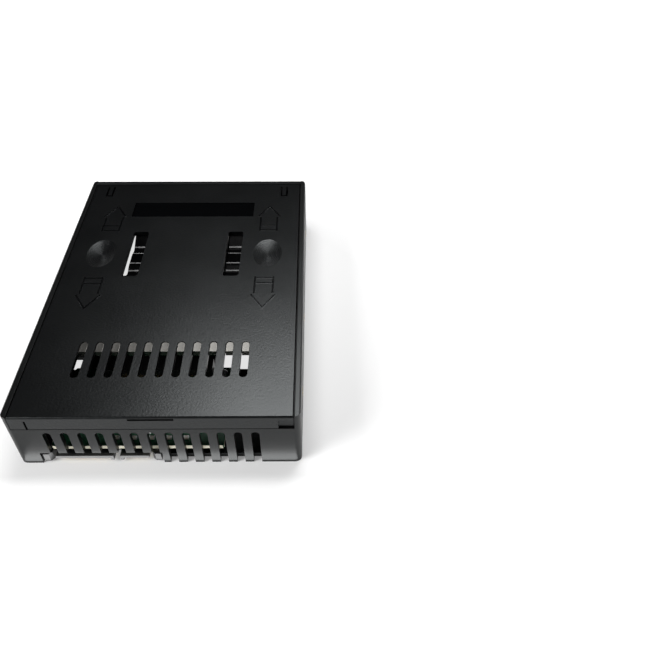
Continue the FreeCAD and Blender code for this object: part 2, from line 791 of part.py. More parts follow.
def peg_places(offset, width, y):
    """Places of the two board pegs of a connector."""
    return [(offset + side * (width / 2 - PEG_INSET), y) for side in (-1, 1)]


PLUG_PEGS = peg_places(PLUG_OFFSET, PLUG_WIDTH, PLUG_FACE + PLUG_BODY_DEPTH / 2)
SOCKET_PEGS = peg_places(SOCKET_OFFSET, SOCKET_WIDTH, SOCKET_BACK + SOCKET_BODY_DEPTH / 2)


def board_pegs(places, z, gap):
    """Flat pegs between two heights."""
    return Part.makeCompound(
        [block(span(px, PEG_WIDTH + 2 * gap), span(py, PEG_THICKNESS + 2 * gap), z) for px, py in places]
    )


def circuit_board():
    """Board with its screw holes and peg slots."""
    outline = ((BOARD_LEFT, BOARD_RIGHT), (BOARD_NEAR, BOARD_FAR))
    board = bevelled_block(*outline, (BOARD_BOTTOM, BOARD_TOP), BOARD_CORNER)
    through = (BOARD_BOTTOM - PAST, BOARD_TOP + PAST)
    depth = through[1] - through[0]
    holes = [
        Part.makeCylinder(SCREW_RADIUS + BOARD_HOLE_GAP, depth, V(px, py, through[0]))
        for px, py in BOARD_SCREWS
    ]
    return board.cut(holes + [board_pegs(PLUG_PEGS + SOCKET_PEGS, through, SEAT_GAP)])


def board_screw(px, py):
    """Screw with a round head."""
    shank = Part.makeCylinder(SCREW_RADIUS, SCREW_LENGTH, V(px, py, BOARD_TOP), V(0, 0, -1))
    head = Part.makeCylinder(SCREW_HEAD_RADIUS, SCREW_HEAD, V(px, py, BOARD_TOP))
    return shank.fuse(head)


def board_screws():
    """The board's screws."""
    return Part.makeCompound([board_screw(px, py) for px, py in BOARD_SCREWS])


def power_span(offset):
    """Low and high X of a connector's power tongue."""
    left = offset - TONGUE_SPAN / 2
    return (left, left + POWER_TONGUE)


def data_span(offset):
    """Low and high X of a connector's data tongue."""
    right = offset + TONGUE_SPAN / 2
    return (right - DATA_TONGUE, right)


def contact_row(outline, across, count):
    """Row of bent contacts with one YZ outline."""
    middle = sum(across) / 2
    return Part.makeCompound(
        [
            section_yz(outline, span(middle + place, CONTACT_WIDTH))
            for place in row_places(count, CONTACT_PITCH)
        ]
    )


def plug_contact_outline():
    """Blade under the tongue, riser behind the body and foot on the board."""
    t = CONTACT_THICKNESS
    low = TONGUE_BOTTOM - CONTACT_PROUD
    near = PLUG_TIP + PLUG_CONTACT_SETBACK
    riser = PLUG_BACK + t
    return [
        (near, low),
        (riser + t, low),
        (riser + t, BOARD_BOTTOM - t),
        (PLUG_FEET, BOARD_BOTTOM - t),
        (PLUG_FEET, BOARD_BOTTOM),
        (riser, BOARD_BOTTOM),
        (riser, low + t),
        (near, low + t),
    ]


def host_plug_power_pins():
    """Power contacts of the host plug."""
    return contact_row(plug_contact_outline(), power_span(PLUG_OFFSET), POWER_CONTACTS)


def host_plug_data_pins():
    """Data contacts of the host plug."""
    return contact_row(plug_contact_outline(), data_span(PLUG_OFFSET), DATA_CONTACTS)


def host_plug_housing():
    """Body, two keyed tongues and two guide arms."""
    across = span(PLUG_OFFSET, PLUG_WIDTH)
    body = block(across, (PLUG_FACE, PLUG_BACK), (PLUG_BOTTOM, BOARD_BOTTOM))
    power = power_span(PLUG_OFFSET)
    data = data_span(PLUG_OFFSET)
    y = (PLUG_TIP, PLUG_FACE)
    tongue_z = (TONGUE_BOTTOM, TONGUE_BOTTOM + TONGUE_THICKNESS)
    key_z = (TONGUE_BOTTOM - KEY_DROP, tongue_z[1])
    pieces = [
        block(power, y, tongue_z),
        block(data, y, tongue_z),
        block((power[1] - KEY_WIDTH, power[1]), y, key_z),
        block((data[0], data[0] + KEY_WIDTH), y, key_z),
    ]
    for side in (-1, 1):
        outer = PLUG_OFFSET + side * PLUG_WIDTH / 2
        inner = outer - side * ARM_WIDTH
        outline = [
            V(inner, PLUG_FACE, PLUG_BOTTOM),
            V(outer, PLUG_FACE, PLUG_BOTTOM),
            V(outer, PLUG_TIP, PLUG_BOTTOM),
            V(inner + side * ARM_LEAD_IN, PLUG_TIP, PLUG_BOTTOM),
            V(inner, PLUG_TIP + ARM_LEAD_IN, PLUG_BOTTOM),
        ]
        pieces.append(prism(outline, V(0, 0, ARM_HEIGHT)))
    housing = body.fuse(pieces)
    pegs = board_pegs(PLUG_PEGS, (BOARD_BOTTOM - PEG_IN_HOUSING, BOARD_BOTTOM), SEAT_GAP)
    cuts = [host_plug_power_pins(), host_plug_data_pins(), pegs]
    return housing.cut(cuts).removeSplitter()


def host_plug_board_pegs():
    """Solder pegs of the host plug, up through the board."""
    return board_pegs(PLUG_PEGS, (BOARD_BOTTOM - PEG_IN_HOUSING, BOARD_TOP + PEG_PAST_BOARD), 0)


def drive_socket_board_pegs():
    """Solder pegs of the drive socket, down through the board."""
    return board_pegs(SOCKET_PEGS, (BOARD_BOTTOM - PEG_PAST_BOARD, BOARD_TOP + PEG_IN_HOUSING), 0)


def socket_contact_outline():
    """Blade on the mouth's floor, riser behind the body and foot on the board."""
    t = CONTACT_THICKNESS
    low = MOUTH_BOTTOM + CONTACT_PROUD - t
    near = SOCKET_TIP - SOCKET_CONTACT_SETBACK
    riser = SOCKET_BACK - t
    foot = riser - CONTACT_FOOT
    return [
        (near, low),
        (riser, low),
        (riser, BOARD_TOP),
        (foot, BOARD_TOP),
        (foot, BOARD_TOP + t),
        (riser - t, BOARD_TOP + t),
        (riser - t, low + t),
        (near, low + t),
    ]


def drive_socket_power_pins():
    """Power contacts of the drive socket."""
    return contact_row(socket_contact_outline(), power_span(SOCKET_OFFSET), POWER_CONTACTS)


def drive_socket_data_pins():
    """Data contacts of the drive socket."""
    return contact_row(socket_contact_outline(), data_span(SOCKET_OFFSET), DATA_CONTACTS)


def drive_socket_housing():
    """Body on the board and a nose with two keyed mouths towards the drive."""
    body = block(
        span(SOCKET_OFFSET, SOCKET_WIDTH),
        (SOCKET_BACK, SOCKET_FACE),
        (BOARD_TOP, BOARD_TOP + SOCKET_BODY_HEIGHT),
    )
    middle = DRIVE_LIFT + DRIVE_TONGUE_HEIGHT
    nose = block(
        span(SOCKET_OFFSET, SOCKET_NOSE_WIDTH),
        (SOCKET_FACE, SOCKET_TIP),
        span(middle, SOCKET_NOSE_HEIGHT),
    )
    power = power_span(SOCKET_OFFSET)
    data = data_span(SOCKET_OFFSET)
    y = (SOCKET_FACE, SOCKET_TIP + PAST)
    mouth_z = (MOUTH_BOTTOM, MOUTH_BOTTOM + MOUTH_HEIGHT)
    key_z = (MOUTH_BOTTOM - KEY_DROP, mouth_z[1])
    key = KEY_WIDTH + 2 * MOUTH_GAP
    power = (power[0] - MOUTH_GAP, power[1] + MOUTH_GAP)
    data = (data[0] - MOUTH_GAP, data[1] + MOUTH_GAP)
    mouths = [
        block(power, y, mouth_z),
        block(data, y, mouth_z),
        block((power[1] - key, power[1]), y, key_z),
        block((data[0], data[0] + key), y, key_z),
    ]
    pegs = board_pegs(SOCKET_PEGS, (BOARD_TOP, BOARD_TOP + PEG_IN_HOUSING), SEAT_GAP)
    cuts = mouths + [drive_socket_power_pins(), drive_socket_data_pins(), pegs]
    return body.fuse(nose).cut(cuts).removeSplitter()


def chip_places():
    """Middles of the chip capacitors on the board."""
    y = BOARD_NEAR + CHIP_FROM_EDGE
    return [(CHIP_FIRST + i * CHIP_PITCH, y) for i in range(CHIP_COUNT)]


def chip_bodies():
    """Ceramic middles of the chip capacitors."""
    length = CHIP_LENGTH - 2 * CHIP_TERMINAL
    z = (BOARD_TOP, BOARD_TOP + CHIP_HEIGHT)
    return Part.makeCompound(
        [block(span(px, length), span(py, CHIP_WIDTH), z) for px, py in chip_places()]
    )


def chip_terminals():
    """Metal end caps of the chip capacitors."""
    reach = (CHIP_LENGTH - CHIP_TERMINAL) / 2
    z = (BOARD_TOP, BOARD_TOP + CHIP_HEIGHT)
    return Part.makeCompound(
        [
            block(span(px + side * reach, CHIP_TERMINAL), span(py, CHIP_WIDTH), z)
            for px, py in chip_places()
            for side in (-1, 1)
        ]
    )


def threaded_insert(place, axis):
    """Six-sided sleeve, its mouth at place and its axis inwards."""
    bore = Part.makeCylinder(INSERT_BORE, INSERT_LENGTH, place, axis)
    return hexagon(place, axis, INSERT_FLATS, INSERT_LENGTH).cut(bore)


def side_inserts(side):
    """Threaded inserts of one side wall."""
    return Part.makeCompound(
        [
            threaded_insert(V(side * HALF_W, y, SIDE_HOLE_HEIGHT), V(-side, 0, 0))
            for y in SIDE_HOLE_PLACES
        ]
    )


def bottom_inserts():
    """Threaded inserts in the bottom."""
    return Part.makeCompound(
        [
            threaded_insert(V(side * BOTTOM_HOLE_SPREAD / 2, y, 0), V(0, 0, 1))
            for side in (-1, 1)
            for y in BOTTOM_HOLE_PLACES
        ]
    )


def main():
    """Build each piece and write it to its own file."""
    pieces = {
        "base_tray": base_tray(),
        "sliding_lid": sliding_lid(),
        "lid_pad": lid_pad(),
        "hold_down_spring_left": hold_down_spring(-1),
        "hold_down_spring_right": hold_down_spring(1),
        "circuit_board": circuit_board(),
        "board_screws": board_screws(),
        "host_plug_housing": host_plug_housing(),
        "host_plug_power_pins": host_plug_power_pins(),
        "host_plug_data_pins": host_plug_data_pins(),
        "host_plug_board_pegs": host_plug_board_pegs(),
        "drive_socket_housing": drive_socket_housing(),
        "drive_socket_power_pins": drive_socket_power_pins(),
        "drive_socket_data_pins": drive_socket_data_pins(),
        "drive_socket_board_pegs": drive_socket_board_pegs(),
        "chip_capacitor_bodies": chip_bodies(),
        "chip_capacitor_terminals": chip_terminals(),
        "side_inserts_left": side_inserts(-1),
        "side_inserts_right": side_inserts(1),
        "bottom_inserts": bottom_inserts(),
    }
    os.makedirs("parts", exist_ok=True)
    for name, shape in pieces.items():
        shape.exportStep(f"parts/{name}.step")
        solids = len(shape.Solids)
        print(f"{name}: {solids} solid(s), {shape.Volume:.1f} cubic mm, valid {shape.isValid()}")


main()
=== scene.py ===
# %% [markdown]
# # Dressing a drive bay adapter
#
# The adapter is a black moulded carrier: a tray with a comb of air slots, and
# a lid that slides off towards the connectors. Its solids come ready-made from
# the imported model. This lesson gives them their finishes, adds the small
# relief that moulding, thread cutting and soldering leave behind, and sets up
# a product photo.
#
# Blender works in metres here, in the frame of the solids: +Z is up and the
# connector end faces -Y. Sizes of the part are written in millimetres and
# scaled once, because that is how a drawing of the part gives them. Only the
# table and the lights are written in metres.

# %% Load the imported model
import bpy
import numpy as np
from mathutils import Matrix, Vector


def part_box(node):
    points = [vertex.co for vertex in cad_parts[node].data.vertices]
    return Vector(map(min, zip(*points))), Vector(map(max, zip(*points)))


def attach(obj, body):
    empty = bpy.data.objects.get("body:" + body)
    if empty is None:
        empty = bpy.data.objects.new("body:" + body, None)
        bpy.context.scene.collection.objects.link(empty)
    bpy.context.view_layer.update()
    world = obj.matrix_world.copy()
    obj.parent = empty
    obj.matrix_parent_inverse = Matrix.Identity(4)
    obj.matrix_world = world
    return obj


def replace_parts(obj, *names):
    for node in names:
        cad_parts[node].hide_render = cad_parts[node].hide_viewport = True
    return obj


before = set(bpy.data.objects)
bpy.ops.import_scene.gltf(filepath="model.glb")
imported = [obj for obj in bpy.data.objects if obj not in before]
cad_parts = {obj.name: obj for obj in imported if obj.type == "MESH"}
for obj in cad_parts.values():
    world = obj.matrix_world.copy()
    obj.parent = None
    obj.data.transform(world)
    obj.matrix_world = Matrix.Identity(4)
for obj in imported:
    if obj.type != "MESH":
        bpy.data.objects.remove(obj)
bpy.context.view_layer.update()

MM = 0.001


def box_mm(name):
    """Low and high corner of a solid's box, in millimetres."""
    return [np.array(corner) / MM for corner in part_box(name)]


# %% [markdown]
# ## Camera
#
# The product photo looks down on the connector end from the front, with the
# adapter in the left half of a square picture. The three turns and the place
# were worked out from the adapter's corners and slots. A matrix with the
# camera's right, up and back directions as columns says the same as three
# rotation angles, and leaves no doubt about their order. The picture was
# cropped a little off its middle, which a small lens shift repeats.

# %% Place the camera
PITCH, YAW, ROLL = np.radians([46.296, 0.643, 0.235])
EYE = np.array([57.261, -222.901, 206.944]) * MM
LENS_MM = 38.625
SENSOR_MM = 36.0
FRAMING_SHIFT = 0.0615
NEAR_CLIP = 10.0 * MM


def camera_axes(pitch, yaw, roll):
    """Right, up and back: forward is turned by yaw about Z and dipped by
    pitch, then right and up are turned about it by roll."""
    forward = np.array([np.sin(yaw) * np.cos(pitch), np.cos(yaw) * np.cos(pitch), -np.sin(pitch)])
    level = np.array([np.cos(yaw), -np.sin(yaw), 0.0])
    upright = np.cross(level, forward)
    right = np.cos(roll) * level + np.sin(roll) * upright
    up = np.cos(roll) * upright - np.sin(roll) * level
    return np.column_stack([right, up, -forward])


camera_data = bpy.data.cameras.new("product_camera")
camera_data.lens = LENS_MM
camera_data.sensor_width = SENSOR_MM
camera_data.shift_y = FRAMING_SHIFT
camera_data.clip_start = NEAR_CLIP
camera = bpy.data.objects.new("product_camera", camera_data)
bpy.context.scene.collection.objects.link(camera)
camera_place = np.eye(4)
camera_place[:3, :3] = camera_axes(PITCH, YAW, ROLL)
camera_place[:3, 3] = EYE
camera.matrix_world = Matrix(camera_place.tolist())
bpy.context.scene.camera = camera
bpy.context.scene.view_settings.view_transform = "Standard"
print("camera height in mm:", round(EYE[2] / MM, 1))

# %% [markdown]
# ## Surfaces from arrays
#
# All the small relief here is one of two surfaces. A profile carried along a
# path makes an arrow's ridge, a ring in the thumb dish, a finger of the vent
# pad, a screw thread, a copper track or the ring round a plated hole. A
# profile turned about an upright axis makes a screw or a bead of solder.
# Modelling each by hand would do too, but grids of points from one numpy
# expression keep the real sizes. They are closed at their two ends or on
# themselves, so one set of faces serves them all.

# %% Grids of faces
def grid_faces(rows, columns, closed):
    """Quads of a grid whose columns close on themselves. Its rows do too where
    closed is set; if not, two caps close the first and the last row."""
    i = np.arange(rows if closed else rows - 1)[:, None]
    j = np.arange(columns)[None, :]
    i2 = (i + 1) % rows
    j2 = (j + 1) % columns
    corners = [i * columns + j, i2 * columns + j, i2 * columns + j2, i * columns + j2]
    quads = np.stack(corners, axis=-1).reshape(-1, 4)
    rim = np.arange(columns)
    caps = np.array([rim, rows * columns - 1 - rim])
    return quads, caps[:0] if closed else caps


def carried(path, across, upward, profile, closed=False):
    """Profile along a path: point (i, j) is path[i] plus profile[j]'s width
    along across[i] and its height along upward[i]."""
    width = profile[None, :, :1] * across[:, None, :]
    height = profile[None, :, 1:] * upward[:, None, :]
    points = (path[:, None, :] + width + height).reshape(-1, 3)
    return points, *grid_faces(len(path), len(profile), closed)


def turned(radius, height, middle, steps, stretch=1.0):
    """Profile turned about an upright axis, from its top to its bottom: point
    (i, j) lies radius[i] from the axis at angle j, at height[i] over middle.
    Its Y is stretched."""
    angle = np.linspace(0.0, 2 * np.pi, steps, endpoint=False)
    x = radius[:, None] * np.cos(angle)
    y = stretch * radius[:, None] * np.sin(angle)
    z = np.broadcast_to(height[:, None], x.shape)
    points = np.stack([x, y, z], axis=-1).reshape(-1, 3) + middle
    return points, *grid_faces(len(radius), steps, False)


print("faces of a closed ring of 4 by 3 points:", len(grid_faces(4, 3, True)[0]))


# %% Mesh objects from grids
def piece(name, parts, body, material):
    """Mesh object from parts in millimetres, riding on a body. Its sides are
    smooth and its end caps flat."""
    points = np.concatenate([part[0] for part in parts])
    starts = np.cumsum([0] + [len(part[0]) for part in parts[:-1]])
    sides, caps = [], []
    for (_, part_quads, part_caps), start in zip(parts, starts):
        sides += (part_quads + start).tolist()
        caps += (part_caps + start).tolist()
    faces = sides + caps
    mesh = bpy.data.meshes.new(name)
    mesh.from_pydata((points * MM).tolist(), [], faces)
    mesh.polygons.foreach_set("use_smooth", np.arange(len(faces)) < len(sides))
    mesh.materials.append(material)
    mesh.update()
    made = bpy.data.objects.new(name, mesh)
    bpy.context.scene.collection.objects.link(made)
    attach(made, body)
    print(name, "faces:", len(faces))
    return made


# %% [markdown]
# ## Finishes
#
# A finish is a small node tree on Object coordinates, which are the solid's
# own metres. Noise about as fine as the grain that the photo shows drives a
# bump, and slower noise lets gloss and tone drift a little, as they do on any
# moulding. Painted images could give the same, but they need unwrapped
# surfaces, and noise needs none. A value that is the same all over is set
# straight on the shader. Where one solid carries two finishes, such as a board
# with its mask and its bare edge, a box in the same coordinates parts them.

# %% Node helpers
NOISE_LOW, NOISE_HIGH = 0.3, 0.7
SOFT_DETAIL, GRAIN_DETAIL, METAL_DETAIL = 2.0, 3.0, 4.0


def new_finish(name):
    """Material, its node tree, its shader and the Object coordinates."""
    material = bpy.data.materials.new(name)
    material.use_nodes = True
    tree = material.node_tree
    where = tree.nodes.new("ShaderNodeTexCoord")
    return material, tree, tree.nodes["Principled BSDF"], where.outputs["Object"]


def math_of(tree, kind, operation, *values):
    """Maths node of a kind; each value is an output or a plain number."""
    node = tree.nodes.new(kind)
    node.operation = operation
    for socket, value in zip(node.inputs, values):
        if isinstance(value, bpy.types.NodeSocket):
            tree.links.new(value, socket)
        else:
            socket.default_value = value
    return node.outputs[0]


def noise_of(tree, where, size_mm, detail=GRAIN_DETAIL):
    """Noise whose blobs are about size_mm across."""
    node = tree.nodes.new("ShaderNodeTexNoise")
    node.inputs["Scale"].default_value = 1.0 / (size_mm * MM)
    node.inputs["Detail"].default_value = detail
    tree.links.new(where, node.inputs["Vector"])
    return node.outputs["Fac"]


def ranged(tree, value, low, high, start=NOISE_LOW, end=NOISE_HIGH):
    """Value mapped from start..end, where most of a noise lies, to low..high."""
    node = tree.nodes.new("ShaderNodeMapRange")
    for name, number in zip(("From Min", "From Max", "To Min", "To Max"), (start, end, low, high)):
        node.inputs[name].default_value = number
    tree.links.new(value, node.inputs["Value"])
    return node.outputs["Result"]


# %% Blends, bumps and boxes
def blended(tree, share, first, second):
    """Colour between two colours, each an output or three numbers."""
    node = tree.nodes.new("ShaderNodeMix")
    node.data_type = "RGBA"
    tree.links.new(share, node.inputs["Factor"])
    colours = [s for s in node.inputs if s.type == "RGBA"]
    for socket, colour in zip(colours, (first, second)):
        if isinstance(colour, bpy.types.NodeSocket):
            tree.links.new(colour, socket)
        else:
            socket.default_value = (*colour, 1.0)
    return [s for s in node.outputs if s.type == "RGBA"][0]


def bump_of(tree, height, depth_mm):
    """Bump whose full height is depth_mm."""
    node = tree.nodes.new("ShaderNodeBump")
    node.inputs["Distance"].default_value = depth_mm * MM
    tree.links.new(height, node.inputs["Height"])
    return node.outputs["Normal"]


def axes_of(tree, vector):
    """The X, Y and Z of a vector, as three outputs."""
    node = tree.nodes.new("ShaderNodeSeparateXYZ")
    tree.links.new(vector, node.inputs[0])
    return node.outputs


def inside_box(tree, where, low_mm, high_mm):
    """One inside a box and zero outside: the largest share of the way from the
    box's middle to its sides, on any axis, is less than one."""
    low, high = np.array(low_mm) * MM, np.array(high_mm) * MM
    offset = math_of(tree, "ShaderNodeVectorMath", "SUBTRACT", where, ((low + high) / 2).tolist())
    share = math_of(tree, "ShaderNodeVectorMath", "DIVIDE", offset, ((high - low) / 2).tolist())
    x, y, z = axes_of(tree, math_of(tree, "ShaderNodeVectorMath", "ABSOLUTE", share))
    largest = math_of(tree, "ShaderNodeMath", "MAXIMUM", x, y)
    largest = math_of(tree, "ShaderNodeMath", "MAXIMUM", largest, z)
    return math_of(tree, "ShaderNodeMath", "LESS_THAN", largest, 1.0)


def dress(material, *names):
    """Give solids a material in place of their plain one."""
    for name in names:
        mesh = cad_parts[name].data
        mesh.materials.clear()
        mesh.materials.append(material)
    print(material.name, "on", ", ".join(names))


# %% [markdown]
# ### Moulded black plastic
#
# Tray and lid are black ABS. The tool for the lid was spark eroded, which
# leaves a fine sandy grain, and the label field in it was polished, so it
# mirrors the dark room and looks blacker. The arrows were cut into that tool,
# so they are smoother than the lid round them and read as dark lines. The tray
# has the same sheen outside, but nobody smooths the core that forms its
# inside. Each could be a node tree of its own; one recipe with other numbers
# keeps them alike: a grain bump, a slow drift in gloss, a tone that never is
# one flat black, and a box in which the gloss is another.

# %% Recipe for black mouldings
MOULD_DRIFT_MM = 22.0
COOL_SHEEN = (0.94, 0.99, 1.0, 1.0)


def moulded_plastic(name, tones, gloss, index, grain_mm, grain_depth_mm, patch, patch_share):
    """Black plastic: grain noise as bump, slow noise for roughness and tone.
    Inside the patch box the roughness is multiplied by its share."""
    material, tree, shader, where = new_finish(name)
    drift = noise_of(tree, where, MOULD_DRIFT_MM)
    grain = noise_of(tree, where, grain_mm)
    share = ranged(tree, inside_box(tree, where, *patch), 1.0, patch_share, 0.0, 1.0)
    rough = math_of(tree, "ShaderNodeMath", "MULTIPLY", ranged(tree, drift, *gloss), share)
    tree.links.new(blended(tree, drift, *tones), shader.inputs["Base Color"])
    tree.links.new(rough, shader.inputs["Roughness"])
    tree.links.new(bump_of(tree, grain, grain_depth_mm), shader.inputs["Normal"])
    shader.inputs["IOR"].default_value = index
    shader.inputs["Specular Tint"].default_value = COOL_SHEEN
    return material


# %% Lid, arrow lines and tray
LID_TOP = box_mm("sliding_lid")[1][2]
FIELD_HALF_WIDTH, FIELD_NEAR, FIELD_FAR = 27.6, 43.9, 55.1
FIELD_BELOW_TOP = (0.6, 0.2)
LABEL_FIELD = (
    (-FIELD_HALF_WIDTH, FIELD_NEAR, LID_TOP - FIELD_BELOW_TOP[0]),
    (FIELD_HALF_WIDTH, FIELD_FAR, LID_TOP - FIELD_BELOW_TOP[1]),
)
TRAY_LOW, TRAY_HIGH = box_mm("base_tray")
SKIN_LOW, SKIN_HIGH = np.array([3.0, 1.7, 0.5]), np.array([3.0, 1.7, 2.5])
TRAY_INSIDE = (TRAY_LOW + SKIN_LOW, TRAY_HIGH - SKIN_HIGH)
POLISHED, EVEN, UNPOLISHED = 0.4, 1.0, 2.2
LID_BLACK = ((0.0006, 0.0007, 0.0008), (0.0011, 0.0012, 0.0014))
TRAY_BLACK = ((0.0015, 0.0015, 0.0015), (0.0026, 0.0026, 0.0026))
LID_INDEX, TRAY_INDEX = 1.4, 1.36

lid_plastic = moulded_plastic(
    "lid_plastic", LID_BLACK, gloss=(0.31, 0.34), index=LID_INDEX,
    grain_mm=0.9, grain_depth_mm=0.055, patch=LABEL_FIELD, patch_share=POLISHED,
)
cut_plastic = moulded_plastic(
    "cut_plastic", LID_BLACK, gloss=(0.2, 0.24), index=LID_INDEX,
    grain_mm=0.5, grain_depth_mm=0.003, patch=LABEL_FIELD, patch_share=EVEN,
)
tray_plastic = moulded_plastic(
    "tray_plastic", TRAY_BLACK, gloss=(0.33, 0.39), index=TRAY_INDEX,
    grain_mm=0.8, grain_depth_mm=0.004, patch=TRAY_INSIDE, patch_share=UNPOLISHED,
)
dress(lid_plastic, "sliding_lid")
dress(tray_plastic, "base_tray")

# %% [markdown]
# ### The other finishes
#
# Springs are blackened strip. Narrow bands beside its bends are painted
# lighter, as a painted highlight where the bends catch the light.
# Separate strips of mesh could carry the bands; here two distances from the
# spring's middle mark them in the finish, on both sides of it. The connectors
# are a harder, smoother black than the tray. Contacts are gold on copper, the
# pegs and the capacitors' ends are tinned, inserts are brass and screws zinc
# plated. All metals are one recipe with other numbers.

# %% Springs
# Painted highlight: lighter bands beside the spring's bends stand for the light they catch.
HIGHLIGHT_MIDDLE, HIGHLIGHT_REACHES, HIGHLIGHT_HALF = 18.6, (8.0, 3.6), 0.3
HIGHLIGHT_SHARE = (0.5, 1.0)
WEAR_AND_HIGHLIGHT_MM = 1.5
SPRING_BLACK, SPRING_HIGHLIGHT = (0.0008, 0.0008, 0.0009), (0.2, 0.2, 0.2)
SPRING_GLOSS, SPRING_SPECULAR = (0.28, 0.36), 0.012


def spring_finish():
    """Dull black strip with painted highlight bands: where the distance along Y
    from the spring's middle is within half a band of one of the reaches."""
    material, tree, shader, where = new_finish("spring_steel")
    wear_and_highlight = noise_of(tree, where, WEAR_AND_HIGHLIGHT_MM)
    along = axes_of(tree, where)[1]
    offset = math_of(tree, "ShaderNodeMath", "SUBTRACT", along, HIGHLIGHT_MIDDLE * MM)
    distance = math_of(tree, "ShaderNodeMath", "ABSOLUTE", offset)
    highlight_bands = [
        math_of(tree, "ShaderNodeMath", "COMPARE", distance, reach * MM, HIGHLIGHT_HALF * MM)
        for reach in HIGHLIGHT_REACHES
    ]
    in_highlight = math_of(tree, "ShaderNodeMath", "MAXIMUM", *highlight_bands)
    painted_highlight = math_of(tree, "ShaderNodeMath", "MULTIPLY", in_highlight, ranged(tree, wear_and_highlight, *HIGHLIGHT_SHARE))
    # The blend paints the highlight bands lighter than the black strip.
    colour = blended(tree, painted_highlight, SPRING_BLACK, SPRING_HIGHLIGHT)
    tree.links.new(colour, shader.inputs["Base Color"])
    tree.links.new(ranged(tree, wear_and_highlight, *SPRING_GLOSS), shader.inputs["Roughness"])
    shader.inputs["Specular IOR Level"].default_value = SPRING_SPECULAR
    return material


dress(spring_finish(), "hold_down_spring_left", "hold_down_spring_right")

# %% Connectors and metals
CONNECTOR_DRIFT_MM = 6.0
CONNECTOR_BLACK, CONNECTOR_LIGHTER = (0.008, 0.008, 0.009), 1.6
CONNECTOR_GLOSS = (0.34, 0.44)


def connector_finish():
    """Smooth black; slow noise keeps its tone and gloss uneven."""
    material, tree, shader, where = new_finish("connector_plastic")
    drift = noise_of(tree, where, CONNECTOR_DRIFT_MM)
    lighter = [c * CONNECTOR_LIGHTER for c in CONNECTOR_BLACK]
    tree.links.new(blended(tree, drift, CONNECTOR_BLACK, lighter), shader.inputs["Base Color"])
    tree.links.new(ranged(tree, drift, *CONNECTOR_GLOSS), shader.inputs["Roughness"])
    return material


def metal(name, dark, light, gloss, grain_mm):
    """Metal whose tone and roughness follow a fine noise."""
    material, tree, shader, where = new_finish(name)
    grain = noise_of(tree, where, grain_mm, METAL_DETAIL)
    tree.links.new(blended(tree, grain, dark, light), shader.inputs["Base Color"])
    tree.links.new(ranged(tree, grain, *gloss), shader.inputs["Roughness"])
    shader.inputs["Metallic"].default_value = 1.0
    return material


contact_metal = metal("contact_metal", (0.72, 0.52, 0.2), (0.95, 0.74, 0.36), gloss=(0.2, 0.32), grain_mm=0.3)
tinned_metal = metal("tinned_metal", (0.55, 0.55, 0.54), (0.8, 0.8, 0.78), gloss=(0.25, 0.4), grain_mm=0.4)
screw_steel = metal("screw_steel", (0.46, 0.47, 0.48), (0.66, 0.67, 0.68), gloss=(0.28, 0.42), grain_mm=0.6)
insert_brass = metal("insert_brass", (0.6, 0.42, 0.16), (0.82, 0.62, 0.28), gloss=(0.24, 0.38), grain_mm=0.5)
dress(connector_finish(), "host_plug_housing", "drive_socket_housing")
dress(contact_metal, "host_plug_power_pins", "host_plug_data_pins")
dress(contact_metal, "drive_socket_power_pins", "drive_socket_data_pins")
dress(tinned_metal, "host_plug_board_pegs", "drive_socket_board_pegs", "chip_capacitor_terminals")
dress(screw_steel, "board_screws")
dress(insert_brass, "side_inserts_left", "side_inserts_right", "bottom_inserts")

# %% [markdown]
# ### Circuit board, capacitors and foam
#
# A board is green only where the solder mask is: on its two faces. Its sawn
# edge shows the cream glass laminate, which is the bright line seen through
# the comb. The edge could be a second material on its own faces, but the
# solids' meshes stay as they come, so a box a hair smaller than the board's
# outline tells the two apart. Capacitors are speckled ceramic, and the strip
# behind the vents is grey foam whose cells show as fine pits.

# %% Board finish
BOARD_LOW, BOARD_HIGH = box_mm("circuit_board")
SAWN_RIM = np.array([0.05, 0.05, -1.0])
WEAVE_MM = 0.9
MASK_GREEN = ((0.010, 0.075, 0.033), (0.018, 0.12, 0.055))
SAWN_CREAM = ((0.82, 0.79, 0.62), (0.9, 0.87, 0.7))
BOARD_GLOSS, BOARD_SPECULAR = (0.4, 0.5), 0.25


def board_finish(low, high):
    """Green mask inside the box, cream laminate on the rim."""
    material, tree, shader, where = new_finish("board_laminate")
    weave = noise_of(tree, where, WEAVE_MM, SOFT_DETAIL)
    mask = blended(tree, weave, *MASK_GREEN)
    sawn = blended(tree, weave, *SAWN_CREAM)
    faces = inside_box(tree, where, low, high)
    tree.links.new(blended(tree, faces, sawn, mask), shader.inputs["Base Color"])
    tree.links.new(ranged(tree, weave, *BOARD_GLOSS), shader.inputs["Roughness"])
    shader.inputs["Specular IOR Level"].default_value = BOARD_SPECULAR
    return material


dress(board_finish(BOARD_LOW + SAWN_RIM, BOARD_HIGH - SAWN_RIM), "circuit_board")


# %% Ceramic and foam
def speckled(name, dark, light, size_mm, roughness, pit_mm):
    """Fine noise as tone and as pits."""
    material, tree, shader, where = new_finish(name)
    speckle = noise_of(tree, where, size_mm)
    tree.links.new(blended(tree, speckle, dark, light), shader.inputs["Base Color"])
    tree.links.new(bump_of(tree, speckle, pit_mm), shader.inputs["Normal"])
    shader.inputs["Roughness"].default_value = roughness
    return material


chip_ceramic = speckled(
    "chip_ceramic", (0.5, 0.47, 0.4), (0.72, 0.69, 0.6), size_mm=0.12, roughness=0.45, pit_mm=0.01,
)
pad_foam = speckled(
    "pad_foam", (0.3, 0.285, 0.26), (0.46, 0.44, 0.4), size_mm=0.5, roughness=0.9, pit_mm=0.1,
)
dress(chip_ceramic, "chip_capacitor_bodies")
dress(pad_foam, "lid_pad")

